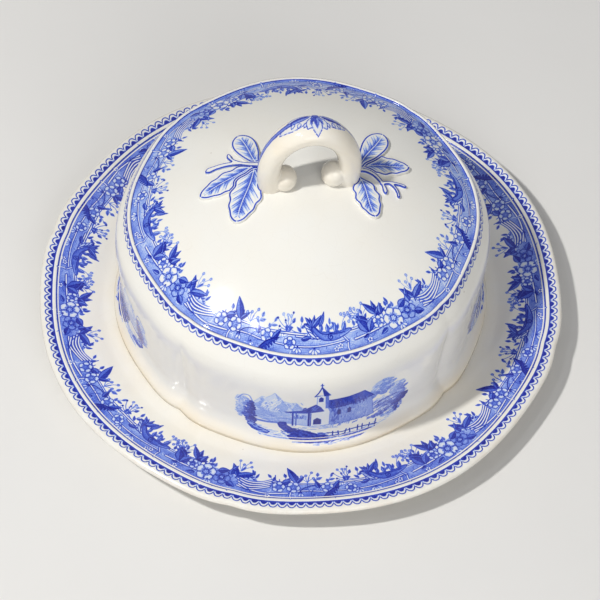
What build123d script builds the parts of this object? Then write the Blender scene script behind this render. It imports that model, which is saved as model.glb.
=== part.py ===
from build123d import *
import math
import os

# Round earthenware butter dish: a lobed underplate (the stand) and a domed cover that lifts off.
# Millimetres, +Z up. The origin is the centre of the circle that the foot ring stands on.

# ---- driving dimensions -------------------------------------------------------------------
STAND_RADIUS = 100.0          # mean radius of the lobed rim
STAND_RIM_TOP = 14.0          # height of the rim's upper edge
STAND_RIM_THICK = 3.2
STAND_WELL_TOP = 8.0          # flat floor of the stand, where the cover sits
STAND_TURN = 25.0             # the stand's lobes are turned by this much from the cover's panels
WARE = 4.0                    # thickness of the fired clay

# Stand, as (radius, height)
WELL_EDGE = (74.5, STAND_WELL_TOP)
VERGE = (80.0, 9.4)           # where the well's side meets the straight slope of the rim
UNDER_RIM = (82.0, 6.0)
FOOT_ROOT = (67.0, 3.6)       # where the foot ring leaves the underside
FOOT_RING = (61.4, 63.3)      # inner and outer radius of its flat bottom
FOOT_ROUND = 0.9              # height of the rounding on both sides of that flat
RECESS_EDGE = (59.0, 3.6)     # edge of the hollow inside the foot ring
RIM_ROUND = 1.45              # rounding of the rim's two edges

# Cover
COVER_BOTTOM = STAND_WELL_TOP
DOME_EDGE_RADIUS = 62.5       # where the dome meets its raised ridge
DOME_EDGE_HEIGHT = 59.9
DOME_TOP = 78.0
HOLLOW_EDGE = 59.0            # radius where the dome's underside turns down into the wall

# Handle
HANDLE_HALF_SPAN = 14.6       # middle line of the handle's strap, from its centre
HANDLE_SPRING = 86.0          # height where the strap starts to arch
HANDLE_RISE = 21.4
HANDLE_SPREAD = 1.6           # how much the feet close in below the spring
STRAP_THICK = (4.3, 3.6)      # half thickness at the spring and at the crest
STRAP_DEEP = (4.1, 5.8)       # half depth at the spring and at the crest
STRAP_SWEEP = (-0.19, 1.19)   # the strap's two ends, in half turns from the left spring
STRAP_SECTIONS = 13
HANDLE_SHIFT = 1.4            # the handle was stuck on by hand, a little off centre
HANDLE_TURN = 3.0             # and turned by this much from the panels, degrees
SCROLL_RADIUS = 4.5
SCROLL_CENTRE = (8.9, 82.0)   # distance from the middle, and height

# Sprigs
SPRIG_RELIEF = 1.1            # how far the applied leaves and twigs stand off the dome
STROKE_STEPS = 7              # points along each side of a twig

# ---- lobed outline ------------------------------------------------------------------------
# Every quarter turn the ware has one wide panel, a soft dip on each side of it, and a sharp
# vertical crease on the diagonal between two panels.
OUTLINE_STEPS = 120
DIP_SHIFT = 0.58              # moves the soft dips out to 27 degrees from a panel's middle
CREASE_WIDTH = 4.2            # degrees


def outline_radius(angle, radius, lobe, crease):
    """Radius of the outline at an angle in degrees, measured from the middle of a panel."""
    turn = math.radians(angle)
    wave = math.cos(8 * turn - DIP_SHIFT * math.sin(4 * turn))
    from_crease = (angle % 90) - 45
    return radius + lobe * wave - crease * math.exp(-(from_crease / CREASE_WIDTH) ** 2)


def outline(height, radius, lobe, crease, turned=0.0):
    """Closed lobed wire at one height."""
    points = []
    for step in range(OUTLINE_STEPS):
        angle = 360.0 * step / OUTLINE_STEPS
        reach = outline_radius(angle, radius, lobe, crease)
        around = math.radians(angle + turned)
        points.append((reach * math.cos(around), reach * math.sin(around), height))
    even = [step / OUTLINE_STEPS for step in range(OUTLINE_STEPS + 1)]
    return Wire([Edge.make_spline(points, periodic=True, parameters=even)])


def lobed_solid(stations, ruled=False):
    """Solid through lobed outlines, each given as height, radius, lobe and crease depth."""
    return Solid.make_loft([outline(*station) for station in stations], ruled)


def revolved(profile):
    """Solid of revolution of a closed line drawn as (radius, height)."""
    return revolve(Plane.XZ * make_face(profile), Axis.Z)


# ---- dome sphere ---------------------------------------------------------------------------
DOME_RISE = DOME_TOP - DOME_EDGE_HEIGHT
DOME_SPHERE = (DOME_EDGE_RADIUS ** 2 + DOME_RISE ** 2) / (2 * DOME_RISE)
DOME_CENTRE = DOME_TOP - DOME_SPHERE


def dome_ball(offset=0.0):
    """Sphere of the dome's outer face, or one offset from it."""
    return Pos(0, 0, DOME_CENTRE) * Sphere(DOME_SPHERE + offset)


# ---- stand ---------------------------------------------------------------------------------
def make_stand():
    """Underplate: flat well, sloped rim with a lobed edge, and a turned foot ring."""
    beyond = STAND_RADIUS + 6
    slope = (STAND_RIM_TOP - VERGE[1]) / (STAND_RADIUS - VERGE[0])
    edge_top = STAND_RIM_TOP + 6 * slope
    edge_low = edge_top - STAND_RIM_THICK
    inner, outer = FOOT_RING
    top = Polyline((0, STAND_WELL_TOP), WELL_EDGE)
    well_side = Spline(WELL_EDGE, VERGE, tangents=[(1, 0), (1, slope)])
    rim = Polyline(VERGE, (beyond, edge_top), (beyond, edge_low))
    under = Polyline((beyond, edge_low), UNDER_RIM, FOOT_ROOT)
    foot_outer = Spline(FOOT_ROOT, (outer + 1.3, FOOT_ROUND), tangents=[(-1, -0.4), (-0.2, -1)])
    foot_heel = ThreePointArc((outer + 1.3, FOOT_ROUND), (outer + 0.8, 0.25), (outer, 0))
    foot_flat = Line((outer, 0), (inner, 0))
    foot_toe = ThreePointArc((inner, 0), (inner - 0.8, 0.3), (inner - 1.2, 1.0))
    foot_inner = Polyline((inner - 1.2, 1.0), RECESS_EDGE, (0, STAND_WELL_TOP - WARE), (0, STAND_WELL_TOP))
    body = revolved(top + well_side + rim + under + foot_outer + foot_heel + foot_flat
                    + foot_toe + foot_inner)
    face = Face(outline(-5, STAND_RADIUS, 0.55, 1.0, STAND_TURN))
    plate = body & extrude(face, 40, dir=(0, 0, 1))
    rim_edges = [edge for edge in plate.edges() if edge.bounding_box().max.X > STAND_RADIUS - 2]
    return fillet(rim_edges, RIM_ROUND)


# ---- cover ---------------------------------------------------------------------------------
# height, radius, lobe, crease depth; from the foot, up the wall, over the shoulder
COVER_STATIONS = [
    (COVER_BOTTOM, 70.7, 0.5, 1.6),
    (COVER_BOTTOM + 1.4, 71.3, 0.5, 1.6),
    (COVER_BOTTOM + 3.0, 70.4, 0.5, 1.8),
    (COVER_BOTTOM + 5.5, 68.4, 0.5, 2.0),
    (COVER_BOTTOM + 10.0, 67.6, 0.5, 2.1),
    (COVER_BOTTOM + 18.0, 67.8, 0.5, 2.1),
    (COVER_BOTTOM + 28.0, 68.4, 0.5, 1.9),
    (COVER_BOTTOM + 36.0, 68.8, 0.5, 1.4),
    (COVER_BOTTOM + 41.0, 68.8, 0.5, 0.9),
    (COVER_BOTTOM + 45.0, 67.8, 0.5, 0.6),
    (COVER_BOTTOM + 48.5, 66.0, 0.5, 0.5),
    (COVER_BOTTOM + 53.0, 63.6, 0.5, 0.5),
]
RIDGE_TOP = DOME_EDGE_HEIGHT + 0.8
RIDGE_OUTER = [(-2.6, 64.3), (-0.6, 63.8), (0.0, 63.3)]      # height from the ridge's top, radius
RIDGE_INNER = [(-4.0, 62.2), (-0.9, 62.3), (0.1, 62.9)]
HAUNCH = [(63.6, 51.0), (64.6, 44.0), (63.9, 30.0), (63.4, 17.0), (66.0, COVER_BOTTOM + 2.0)]
HOLLOW_MOUTH = (66.4, COVER_BOTTOM - 1.0)


def ridge_solid(line):
    """Lobed solid through a line of (height from the ridge's top, radius)."""
    return lobed_solid([(RIDGE_TOP + rise, radius, 0.5, 0.5) for rise, radius in line], ruled=True)


def dome_underside(radius):
    """Height of the dome's underside at a radius."""
    return DOME_CENTRE + math.sqrt((DOME_SPHERE - WARE) ** 2 - radius ** 2)


def make_cover():
    """Cover: flared foot, panelled wall, round shoulder, lobed ridge and shallow dome."""
    outside = lobed_solid(COVER_STATIONS) & dome_ball()
    ridge = ridge_solid(RIDGE_OUTER) - ridge_solid(RIDGE_INNER)
    edge = (HOLLOW_EDGE, dome_underside(HOLLOW_EDGE))
    middle = (HOLLOW_EDGE / 2, dome_underside(HOLLOW_EDGE / 2))
    crown = ThreePointArc((0, DOME_TOP - WARE), middle, edge)
    haunch = Spline(edge, *HAUNCH, HOLLOW_MOUTH)
    close = Polyline(HOLLOW_MOUTH, (0, HOLLOW_MOUTH[1]), (0, DOME_TOP - WARE))
    dome_edge = Face(outline(DOME_EDGE_HEIGHT - 4, DOME_EDGE_RADIUS, 0.5, 0.5))
    dome = extrude(dome_edge, DOME_TOP, dir=(0, 0, 1)) & dome_ball()
    return (outside + dome + ridge) - revolved(crown + haunch + close)


# ---- handle --------------------------------------------------------------------------------
def strap_station(share):
    """Middle point, direction, half thickness and half depth of the strap, share 0 to 1."""
    start, end = STRAP_SWEEP
    swing = math.pi * (start + (end - start) * share)
    lift = math.sin(swing)
    x = -HANDLE_HALF_SPAN * math.cos(swing)
    z = HANDLE_SPRING + HANDLE_RISE * lift
    dx = HANDLE_HALF_SPAN * math.sin(swing)
    dz = HANDLE_RISE * math.cos(swing)
    if lift < 0:
        x = math.copysign(HANDLE_HALF_SPAN + HANDLE_SPREAD * lift, x)
        dx = math.copysign(HANDLE_SPREAD, -x) * (-dz / HANDLE_RISE)
    thick = STRAP_THICK[0] + (STRAP_THICK[1] - STRAP_THICK[0]) * max(lift, 0.0)
    deep = STRAP_DEEP[0] + (STRAP_DEEP[1] - STRAP_DEEP[0]) * lift
    return (x, z), (dx, dz), thick, deep


def make_handle_loop():
    """Arched strap of the handle, oval in section, with feet that reach into the dome."""
    sections = []
    for step in range(STRAP_SECTIONS):
        (x, z), (dx, dz), thick, deep = strap_station(step / (STRAP_SECTIONS - 1))
        plane = Plane(origin=(x, 0, z), x_dir=(0, 1, 0), z_dir=(dx, 0, dz))
        sections.append(Wire([plane * Edge.make_ellipse(deep, thick)]))
    return Solid.make_loft(sections)


def make_scroll():
    """Ball-shaped left end of the strap, curled in under the arch."""
    return Pos(-SCROLL_CENTRE[0], 0, SCROLL_CENTRE[1]) * Sphere(SCROLL_RADIUS)


# ---- applied sprigs ------------------------------------------------------------------------
# Leaf shapes, as (share of the length, share of the half width)
ROUND_LEAF = [(0.0, 0.12), (0.14, 0.30), (0.32, 0.62), (0.52, 0.90), (0.70, 1.0), (0.86, 0.84), (0.96, 0.46)]
LOBED_LEAF = [(0.0, 0.12), (0.10, 0.42), (0.22, 0.84), (0.31, 0.93), (0.37, 0.87), (0.48, 1.02), (0.57, 0.98),
              (0.63, 0.86), (0.73, 0.84), (0.82, 0.66), (0.90, 0.52), (0.97, 0.28)]
# name: stalk end, tip, half width, all in plan, and the shape
LEAVES = {
    "leaf_upper_left": ((-15.6, 7.6), (-22.4, 26.0), 4.4, ROUND_LEAF),
    "leaf_outer_left": ((-16.0, 8.4), (-38.0, -0.5), 4.7, LOBED_LEAF),
    "leaf_lower_left": ((-17.2, 7.2), (-26.0, -14.5), 6.0, LOBED_LEAF),
    "leaf_upper_right": ((19.4, 4.6), (31.2, 24.4), 4.6, ROUND_LEAF),
    "leaf_outer_right": ((18.8, 7.2), (39.2, 8.2), 4.6, LOBED_LEAF),
    "leaf_lower_right": ((19.6, 1.4), (24.2, -15.9), 4.7, LOBED_LEAF),
}
# each twig is a list of tapering strokes: points in plan, then the width at each end
TWIGS = {
    "twig_left": [
        ([(-16.0, 9.4), (-21.0, 10.8), (-24.8, 13.2), (-26.4, 16.6)], 2.0, 1.3),
        ([(-22.4, 11.3), (-27.6, 12.0), (-34.2, 11.0)], 1.7, 2.2),
    ],
    "twig_right": [
        ([(18.6, 4.6), (25.0, 3.4), (28.2, -1.4), (28.8, -4.8)], 2.0, 1.3),
        ([(27.8, -0.8), (31.8, -0.2), (36.4, -1.0)], 1.5, 1.2),
        ([(31.0, -0.4), (32.8, -2.6), (33.5, -6.0)], 1.3, 1.1),
    ],
}


def sprig(flat):
    """Layer of clay of even relief over the dome, with the given plan shape."""
    layer = dome_ball(SPRIG_RELIEF) - dome_ball()
    return extrude(Pos(0, 0, 50) * flat, 40, dir=(0, 0, 1)) & layer


def leaf_outline(stalk, tip, half_width, shape):
    """Closed leaf from its stalk end to its tip, the same on both sides."""
    base = Vector(*stalk)
    spine = Vector(*tip) - base
    across = Vector(-spine.Y, spine.X) / spine.length
    one_side = [base + spine * along + across * (half_width * wide) for along, wide in shape]
    other_side = [base + spine * along - across * (half_width * wide) for along, wide in shape]
    points = one_side + [Vector(*tip)] + other_side[::-1]
    return make_face(Spline(*points, periodic=True))


def stroke(points, width_start, width_end):
    """Tapering round-ended stroke along a curve."""
    path = Spline(*points)
    one_side = []
    other_side = []
    for step in range(STROKE_STEPS):
        share = step / (STROKE_STEPS - 1)
        middle = path @ share
        along = path % share
        half = (width_start + (width_end - width_start) * share) / 2
        across = Vector(-along.Y, along.X) * half
        one_side.append(middle + across)
        other_side.append(middle - across)
    tip = path @ 1 + (path % 1) * width_end * 0.5
    heel = path @ 0 - (path % 0) * width_start * 0.5
    return make_face(Spline(*one_side, tip, *other_side[::-1], heel, periodic=True))


def make_twig(strokes):
    """Forked twig of several strokes, as one layer."""
    flat = None
    for points, width_start, width_end in strokes:
        piece = stroke(points, width_start, width_end)
        flat = piece if flat is None else flat + piece
    return sprig(flat)


# ---- assembly ------------------------------------------------------------------------------
def make_parts():
    """Every separate piece by node name, each cut clear of the pieces it is stuck to."""
    parts = {"stand": make_stand(), "cover": make_cover()}
    seat = Pos(HANDLE_SHIFT, 0, 0) * Rot(0, 0, HANDLE_TURN)
    strap = make_handle_loop()
    scroll = make_scroll() - strap
    loop = seat * strap - dome_ball()
    parts["handle_loop"] = loop
    parts["handle_scroll_left"] = seat * scroll - dome_ball()
    parts["handle_scroll_right"] = seat * mirror(scroll, about=Plane.YZ) - dome_ball()
    placed = [loop]
    for name, strokes in TWIGS.items():
        parts[name] = make_twig(strokes) - loop
        placed.append(parts[name])
    for name in ("leaf_lower_left", "leaf_outer_left", "leaf_upper_left",
                 "leaf_upper_right", "leaf_outer_right", "leaf_lower_right"):
        leaf = sprig(leaf_outline(*LEAVES[name]))
        for other in placed:
            leaf -= other
        parts[name] = leaf
        placed.append(leaf)
    return parts


def main():
    os.makedirs("parts", exist_ok=True)
    for name, shape in make_parts().items():
        solids = shape.solids()
        largest = max(solids, key=lambda solid: solid.volume)
        print(name, len(solids), round(largest.volume, 1))
        export_step(largest, os.path.join("parts", name + ".step"))


main()
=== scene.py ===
import math

import bpy
import numpy as np
from mathutils import Matrix, Vector
from mathutils.kdtree import KDTree


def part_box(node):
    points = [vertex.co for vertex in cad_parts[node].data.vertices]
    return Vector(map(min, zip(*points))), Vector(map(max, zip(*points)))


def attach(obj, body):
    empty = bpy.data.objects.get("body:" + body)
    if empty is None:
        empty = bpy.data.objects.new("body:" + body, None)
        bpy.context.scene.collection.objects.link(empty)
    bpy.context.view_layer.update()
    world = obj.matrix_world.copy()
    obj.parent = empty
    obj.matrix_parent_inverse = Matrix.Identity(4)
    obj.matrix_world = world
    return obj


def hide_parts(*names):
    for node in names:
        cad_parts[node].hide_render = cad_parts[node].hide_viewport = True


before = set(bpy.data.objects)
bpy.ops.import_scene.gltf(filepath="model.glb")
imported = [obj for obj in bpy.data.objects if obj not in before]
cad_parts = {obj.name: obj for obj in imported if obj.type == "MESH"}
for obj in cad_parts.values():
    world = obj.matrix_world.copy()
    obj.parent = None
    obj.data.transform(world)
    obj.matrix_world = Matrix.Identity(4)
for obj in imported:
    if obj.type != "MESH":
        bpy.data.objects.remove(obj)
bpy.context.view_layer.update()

MM = 0.001

# ---- sizes read from the frame, in millimetres --------------------------------------------
STAND_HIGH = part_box("stand")[1] / MM
COVER_LOW, COVER_HIGH = (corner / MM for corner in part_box("cover"))
HANDLE_LOW, HANDLE_HIGH = (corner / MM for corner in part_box("handle_loop"))
SEAT = COVER_LOW.z                       # floor of the stand's well, where the cover rests
DOME_TOP = COVER_HIGH.z
RIM = 100.0 * STAND_HIGH.x / 99.47       # mean radius of the stand's rim
FOOT = 71.3 * COVER_HIGH.x / 71.82       # mean radius of the cover's foot

# ---- the ware's own sizes, in millimetres and degrees ---------------------------------------
CLAY = 4.0                               # thickness of the clay
WALL = FOOT - 2.9                        # mean radius of the cover's wall
FOOT_RING = 62.3                         # radius of the ring that the stand stands on
RIDGE, RIDGE_RISE = 63.4, 52.68          # the white ridge round the dome: radius, and rise from the seat
RIDGE_HEIGHT = SEAT + RIDGE_RISE
DOME_EDGE, DOME_RISE = 62.5, 18.1        # radius of the dome, and how far its middle stands above its edge
DOME_SPHERE = (DOME_EDGE ** 2 + DOME_RISE ** 2) / (2 * DOME_RISE)
DOME_CENTRE = DOME_TOP - DOME_SPHERE     # height of the middle of the dome's sphere
BEAD, BEAD_RISE = 94.5, 0.3              # the bead round the stand's rim: radius, and rise from the slope
STAND_TURN = 25.0                        # from the cover's panels to the stand's lobes
LIFT = 0.03                              # height of the print above the ware

# ---- turned ware with a lobed outline -----------------------------------------------------
COVER_COLUMNS, STAND_COLUMNS = 640, 720  # points of each turned body round the circle
LOBES = 8
DIP_SHIFT = 0.58                         # draws the dips towards the creases
CREASE_WIDTH = 4.2
CREASE_SHARP = 1.35                      # 2 is a round hollow, 1 a sharp fold


def lobe_wave(angle):
    """Soft swell of the outline: 1 at a panel's middle, -1 in the dips beside it."""
    turn = np.radians(angle)
    return np.cos(LOBES * turn - DIP_SHIFT * np.sin(4 * turn))


def crease_wave(angle):
    """1 in the sharp crease on each diagonal, 0 elsewhere."""
    from_crease = np.mod(angle, 90) - 45
    return np.exp(-np.abs(from_crease / CREASE_WIDTH) ** CREASE_SHARP)


def smooth_through(rows, samples=24):
    """Points of a smooth curve through rows of values, by cubic Hermite steps."""
    rows = np.array(rows, float)
    chord = np.hypot(*np.diff(rows[:, :2], axis=0).T)
    at = np.concatenate([[0], np.cumsum(np.maximum(chord, 1e-6))])
    slope = np.gradient(rows, at, axis=0)
    pieces = []
    for k in range(len(rows) - 1):
        t = np.linspace(0, 1, samples, endpoint=False)[:, None]
        span = at[k + 1] - at[k]
        pieces.append((2 * t**3 - 3 * t**2 + 1) * rows[k] + (t**3 - 2 * t**2 + t) * span * slope[k]
                      + (3 * t**2 - 2 * t**3) * rows[k + 1] + (t**3 - t**2) * span * slope[k + 1])
    return np.concatenate(pieces + [rows[-1:]])


class Ware:
    """Surface of revolution with lobes, measured by angle and by distance along its profile.

    Each run of the profile is a list of radius, height, swell of the lobes and depth of the
    creases. Distances count from the profile's point nearest to zero.
    """

    def __init__(self, runs, zero, turned=0.0):
        rows = np.concatenate([smooth_through(run) for run in runs])
        keep = np.concatenate([[True], np.hypot(*np.diff(rows[:, :2], axis=0).T) > 1e-7])
        rows = rows[keep]
        self.along = np.concatenate([[0], np.cumsum(np.hypot(*np.diff(rows[:, :2], axis=0).T))])
        self.rows = rows
        self.turned = turned
        nearest = np.argmin(np.hypot(rows[:, 0] - zero[0], rows[:, 1] - zero[1]))
        self.along -= self.along[nearest]

    def value(self, s, column):
        """Radius, height, swell or crease at a distance along the profile."""
        return np.interp(s, self.along, self.rows[:, column])

    def point(self, angle, s):
        """Points of the surface, for angles in degrees."""
        local = angle - self.turned
        reach = (self.value(s, 0) + self.value(s, 2) * lobe_wave(local)
                 - self.value(s, 3) * crease_wave(local))
        turn = np.radians(angle)
        return np.stack([reach * np.cos(turn), reach * np.sin(turn),
                         self.value(s, 1) + 0 * angle], -1)

    def place(self, angle, s, lift=0.0):
        """Points of the surface, raised by lift along its outward side."""
        here = self.point(angle, s)
        if not lift:
            return here
        around = self.point(angle + 0.05, s) - self.point(angle - 0.05, s)
        up = self.point(angle, s + 0.05) - self.point(angle, s - 0.05)
        normal = np.cross(up, around)
        normal /= np.maximum(np.linalg.norm(normal, axis=-1, keepdims=True), 1e-9)
        return here + normal * lift


# ---- meshes -------------------------------------------------------------------------------
def linked(name, data):
    """New object in the scene."""
    thing = bpy.data.objects.new(name, data)
    bpy.context.scene.collection.objects.link(thing)
    return thing


def store(mesh, name, values):
    """Keep a number at each point of a mesh, for its material."""
    layer = mesh.attributes.new(name, "FLOAT", "POINT")
    layer.data.foreach_set("value", np.asarray(values, np.float32).ravel())


def new_mesh(name, points, faces, material, tone=None):
    """Smooth-shaded object from points in millimetres and an array of faces."""
    mesh = bpy.data.meshes.new(name)
    points = np.asarray(points, np.float32) * MM
    mesh.vertices.add(len(points))
    mesh.vertices.foreach_set("co", points.ravel())
    sizes = np.concatenate([np.full(len(block), block.shape[1]) for block in faces])
    corners = np.concatenate([block.ravel() for block in faces])
    mesh.loops.add(len(corners))
    mesh.loops.foreach_set("vertex_index", corners.astype(np.int32))
    mesh.polygons.add(len(sizes))
    mesh.polygons.foreach_set("loop_start", (np.cumsum(sizes) - sizes).astype(np.int32))
    mesh.update(calc_edges=True)
    mesh.validate()
    mesh.shade_smooth()
    if tone is not None:
        store(mesh, "ink", tone)
    mesh.materials.append(material)
    return linked(name, mesh)


def grid_faces(rows, columns, closed):
    """Quads of a grid of points; closed joins the last column to the first."""
    i, j = np.meshgrid(np.arange(rows - 1), np.arange(columns if closed else columns - 1), indexing="ij")
    k = (j + 1) % columns
    return np.stack([i * columns + j, i * columns + k, (i + 1) * columns + k, (i + 1) * columns + j],
                    -1).reshape(-1, 4)


def turned_body(name, ware, spacing, columns, material):
    """Closed body of a profile that starts and ends on the axis; spacing gives the step at each distance."""
    first, last = ware.along[0], ware.along[-1]
    s = [first]
    while s[-1] < last:
        s.append(s[-1] + spacing(s[-1]))
    s = np.array(s[1:-1])
    s = s[s < last - 0.2]
    angle = np.arange(columns) * 360.0 / columns
    grid_angle, grid_s = np.meshgrid(angle, s)
    points = ware.place(grid_angle, grid_s).reshape(-1, 3)
    ends = np.array([[0, 0, ware.rows[0, 1]], [0, 0, ware.rows[-1, 1]]])
    count = len(points)
    ring = np.arange(columns)
    after = (ring + 1) % columns
    top = np.stack([np.full(columns, count), ring, after], -1)
    base = (len(s) - 1) * columns
    bottom = np.stack([np.full(columns, count + 1), base + after, base + ring], -1)
    quads = grid_faces(len(s), columns, True)[:, ::-1]
    return new_mesh(name, np.concatenate([points, ends]), [quads, top, bottom], material)


# ---- profiles: radius, height, swell, crease ----------------------------------------------
def plain(*rows):
    """Rows of a profile without lobes, from radii and rises from the seat."""
    return [(radius, SEAT + rise, 0.0, 0.0) for radius, rise in rows]


def dome_runs():
    """Dome and its underside, as parts of two spheres with one centre."""
    outer = [(r, DOME_CENTRE + math.sqrt(DOME_SPHERE ** 2 - r ** 2),
              0.5 * (r / DOME_EDGE) ** 2, 0.5 * (r / DOME_EDGE) ** 6)
             for r in np.linspace(0, DOME_EDGE - 0.6, 26)]
    inner = [(r, DOME_CENTRE + math.sqrt((DOME_SPHERE - CLAY) ** 2 - r ** 2), 0.0, 0.0)
             for r in np.linspace(59, 0, 16)]
    return outer, inner


def cover_profile():
    """From the top of the dome outwards, down the wall, and back up the inside."""
    dome, under = dome_runs()
    outer = ((62.45, 52.1, 0.5), (62.9, 52.55, 0.5), (RIDGE, RIDGE_RISE, 0.5), (63.9, 52.4, 0.5),
             (64.35, 51.6, 0.5), (65.2, 50.0, 0.5), (66.5, 47.5, 0.5), (67.9, 44.6, 0.6), (68.6, 41.5, 0.9),
             (68.85, 38.0, 1.2), (68.6, 31.0, 1.7), (68.1, 22.0, 2.0), (67.7, 14.0, 2.1), (67.7, 8.5, 2.1),
             (68.5, 5.3, 2.0), (70.1, 3.2, 1.8), (71.1, 1.9, 1.6), (FOOT, 1.0, 1.6), (71.05, 0.25, 1.6),
             (70.4, 0.0, 1.6))
    inner = ((66.6, 0.0), (66.1, 1.4), (64.4, 5.0), (63.5, 9.0), (63.7, 20.0), (64.5, 36.0), (63.8, 42.5),
             (61.8, 46.8))
    wall = [dome[-1]] + [(r, SEAT + rise, 0.5, crease) for r, rise, crease in outer]
    inside = plain(*inner) + [under[0]]
    ledge = [wall[-1], (68.5, SEAT, 0.2, 0.4), inside[0]]
    return Ware([dome, wall, ledge, inside, under], zero=(RIDGE, RIDGE_HEIGHT))


def rim_height(radius):
    """Height of the stand's sloping rim, which rises from the edge of the well."""
    return SEAT + 1.4 + (radius - 80) * 4.6 / 20


def stand_profile():
    """From the middle of the well outwards, over the rim, and back along the underside."""
    well = plain((0, 0), (40, 0), (74, 0))
    slope = [(r, rim_height(r) + bead, swell, crease) for r, bead, swell, crease in (
        (80, 0, 0, 0), (86, 0, 0.2, 0.2), (92, 0, 0.4, 0.5), (93.5, 0, 0.5, 0.6), (94, 0.22, 0.5, 0.7),
        (BEAD, BEAD_RISE, 0.5, 0.7), (95, 0.22, 0.5, 0.7), (95.5, 0, 0.5, 0.7), (97.2, 0, 0.55, 0.9),
        (98.6, -0.05, 0.55, 1))]
    top = rim_height(99)
    edge = [(99.55, rim_height(98.9) - 0.55, 0.55, 1), (RIM - 0.02, top - 1.5, 0.55, 1),
            (99.5, top - 2.6, 0.55, 1), (98.3, top - 3.15, 0.55, 1), (95, rim_height(96) - 3.3, 0.4, 0.8),
            (88, SEAT + 0.1, 0.2, 0.2)]
    rise = plain((74, 0), (76, 0.25), (78, 0.8)) + slope + edge + plain((82, -2.0))
    under = plain((82, -2.0), (74, -3.3), (67.6, -4.3), (65.6, -5.3), (64.6, -7.0), (64.1, -7.8),
                  (63.3, -7.98))
    ring = plain((63.3, -8), (FOOT_RING, -8), (61.4, -8))
    inner = plain((61.4, -7.98), (60.6, -7.6), (60.2, -6.9), (59.4, -5.0), (58.0, -4.3), (55, -CLAY))
    floor = plain((55, -CLAY), (30, -CLAY), (0, -CLAY))
    return Ware([well, rise, under, ring, inner, floor], zero=(BEAD, rim_height(BEAD) + BEAD_RISE),
                turned=STAND_TURN)


# ---- a sheet of transfer print, painted in millimetres ------------------------------------
LINE = 0.30                              # width of an engraved line
DARK, MIDDLE, PALE, WASH, BARE = 1.0, 0.68, 0.42, 0.27, 0.0   # strengths of the blue


def bend(points, steps=7):
    """Points of a smooth curve through a few points."""
    points = np.array(points, float)
    if len(points) < 3:
        return points
    padded = np.concatenate([[2 * points[0] - points[1]], points, [2 * points[-1] - points[-2]]])
    t = np.linspace(0, 1, steps, endpoint=False)[:, None]
    runs = [0.5 * (2 * b + (c - a) * t + (2 * a - 5 * b + 4 * c - d) * t**2
                   + (3 * b - a - 3 * c + d) * t**3)
            for a, b, c, d in zip(padded, padded[1:], padded[2:], padded[3:])]
    return np.concatenate(runs + [points[-1:]])


def heading(degrees):
    """Unit step in a direction, counted from the right towards the top."""
    return np.array([math.cos(math.radians(degrees)), math.sin(math.radians(degrees))])


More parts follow.
